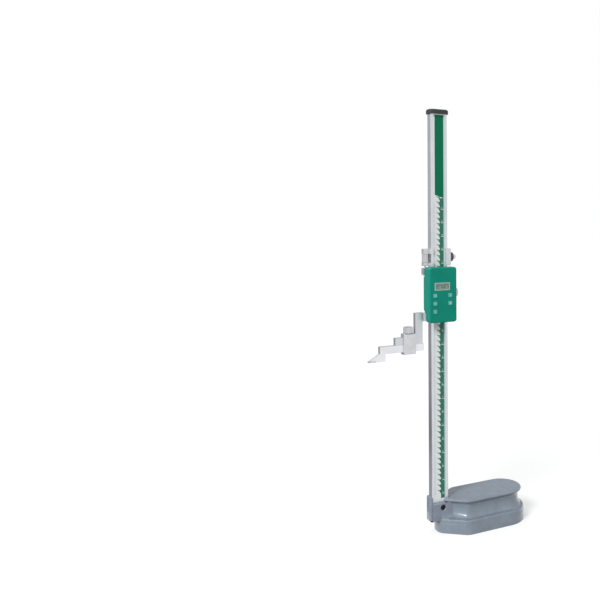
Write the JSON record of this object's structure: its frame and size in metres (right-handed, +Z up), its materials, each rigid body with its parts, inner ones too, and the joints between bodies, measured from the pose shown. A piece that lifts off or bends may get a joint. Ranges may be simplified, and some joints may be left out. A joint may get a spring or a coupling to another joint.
{
  "type": "height gauge",
  "caption": "Digital height gauge: a steel column with a graduated scale on a cast base, a slider with a display, fine adjustment, and a clamped carbide-tipped scriber.",
  "frame": {"origin": "on the ground underside of the base, under the axis of the column", "axes": "+Z up the column, -X towards the scriber, +X towards the round end of the base, -Y towards the reader"},
  "size_m": [0.32, 0.0946, 0.7915],
  "materials": {
    "casting_paint": "glossy blue-grey enamel over cast iron",
    "column_steel": "ground and satin-plated steel",
    "frame_steel": "satin-plated steel",
    "jaw_steel": "ground steel",
    "scale_board": "capacitive scale board",
    "scale_print": null,
    "black_plastic": "moulded black plastic",
    "dark_screw": "blackened steel",
    "bright_screw": "plated steel",
    "gib_brass": "rolled brass strip",
    "knurled_dark": "knurled dark-plated steel",
    "knurled_bright": "knurled satin steel",
    "carbide": "lapped carbide",
    "housing_green": "moulded teal-green plastic",
    "bezel_plastic": "pale moulded frame",
    "window_plastic": "clear window",
    "lcd_grey": "liquid crystal display",
    "key_plastic": "moulded keys",
    "board_green": "circuit board",
    "cell_steel": "steel coin cell"
  },
  "bodies": {
    "stand": {"base_casting": "casting_paint", "column_beam": "column_steel", "scale_strip": "scale_board", "scale_label": "scale_print", "column_cap": "black_plastic", "column_set_screw": "dark_screw", "column_foot_screw": "dark_screw"},
    "carriage": {"fine_adjust_frame": "frame_steel", "carriage_gib": "gib_brass"},
    "fine_wheel": {"fine_adjust_wheel": "knurled_bright"},
    "carriage_lock": {"carriage_lock_screw": "knurled_dark"},
    "slider": {"slider_frame": "jaw_steel", "slider_gib": "gib_brass", "gib_screws": "dark_screw", "fine_adjust_screw": "bright_screw", "fine_screw_nut": "bright_screw", "module_screws": "dark_screw", "housing_front": "housing_green", "housing_back": "black_plastic", "housing_screws": "dark_screw", "main_board": "board_green", "key_switches": "black_plastic", "sensor_board": "board_green", "battery_contacts": "bright_screw", "lcd_bezel": "bezel_plastic", "lcd_window": "window_plastic", "lcd_module": "lcd_grey"},
    "slider_lock": {"slider_lock_screw": "knurled_dark"},
    "clamp": {"scriber_clamp": "frame_steel"},
    "clamp_knob": {"scriber_clamp_screw": "knurled_bright"},
    "scriber": {"scriber_bar": "jaw_steel", "carbide_tip": "carbide"},
    "battery_drawer": {"battery_tray": "housing_green", "battery_cell": "cell_steel"},
    "button_power": {"button_power": "key_plastic"},
    "button_units": {"button_units": "key_plastic"},
    "button_zero": {"button_zero": "key_plastic"},
    "button_preset": {"button_preset": "key_plastic"},
    "button_hold": {"button_hold": "key_plastic"}
  },
  "joints": [
    {"name": "carriage_slide", "type": "slide", "parent": "stand", "child": "carriage", "axis": [0, 0, 1], "range_m": [-0.3216, 0.25]},
    {"name": "fine_slide", "type": "slide", "parent": "carriage", "child": "slider", "axis": [0, 0, 1], "range_m": [-0.006, 0.0015]},
    {"name": "fine_wheel_turn", "type": "hinge", "parent": "carriage", "child": "fine_wheel", "pos_m": [-0.0262, 0, 0.5126], "axis": [0, 0, 1], "range_deg": [-772, 3086]},
    {"name": "carriage_lock_turn", "type": "hinge", "parent": "carriage", "child": "carriage_lock", "pos_m": [0.0262, 0, 0.5142], "axis": [1, 0, 0], "range_deg": [0, 360]},
    {"name": "slider_lock_turn", "type": "hinge", "parent": "slider", "child": "slider_lock", "pos_m": [0.0262, 0, 0.4463], "axis": [1, 0, 0], "range_deg": [0, 360]},
    {"name": "clamp_slide", "type": "slide", "parent": "slider", "child": "clamp", "axis": [1, 0, 0], "range_m": [-0.0155, 0]},
    {"name": "clamp_screw_turn", "type": "hinge", "parent": "clamp", "child": "clamp_knob", "pos_m": [-0.0615, 0, 0.3756], "axis": [0, 0, 1], "range_deg": [0, 360]},
    {"name": "scriber_slide", "type": "slide", "parent": "slider", "child": "scriber", "axis": [1, 0, 0], "range_m": [-0.025, 0.006]},
    {"name": "battery_tray_slide", "type": "slide", "parent": "slider", "child": "battery_drawer", "axis": [1, 0, 0], "range_m": [0, 0.021]},
    {"name": "button_power_press", "type": "slide", "parent": "slider", "child": "button_power", "axis": [0, 1, 0], "range_m": [0, 0.0007], "stiffness_N_per_m": 600},
    {"name": "button_units_press", "type": "slide", "parent": "slider", "child": "button_units", "axis": [0, 1, 0], "range_m": [0, 0.0007], "stiffness_N_per_m": 600},
    {"name": "button_zero_press", "type": "slide", "parent": "slider", "child": "button_zero", "axis": [0, 1, 0], "range_m": [0, 0.0007], "stiffness_N_per_m": 600},
    {"name": "button_preset_press", "type": "slide", "parent": "slider", "child": "button_preset", "axis": [0, 1, 0], "range_m": [0, 0.0007], "stiffness_N_per_m": 600},
    {"name": "button_hold_press", "type": "slide", "parent": "slider", "child": "button_hold", "axis": [0, 1, 0], "range_m": [0, 0.0007], "stiffness_N_per_m": 600}
  ],
  "couplings": [
    {"joint": "fine_wheel_turn", "follows": "fine_slide", "rad_per_m": -8976}
  ]
}
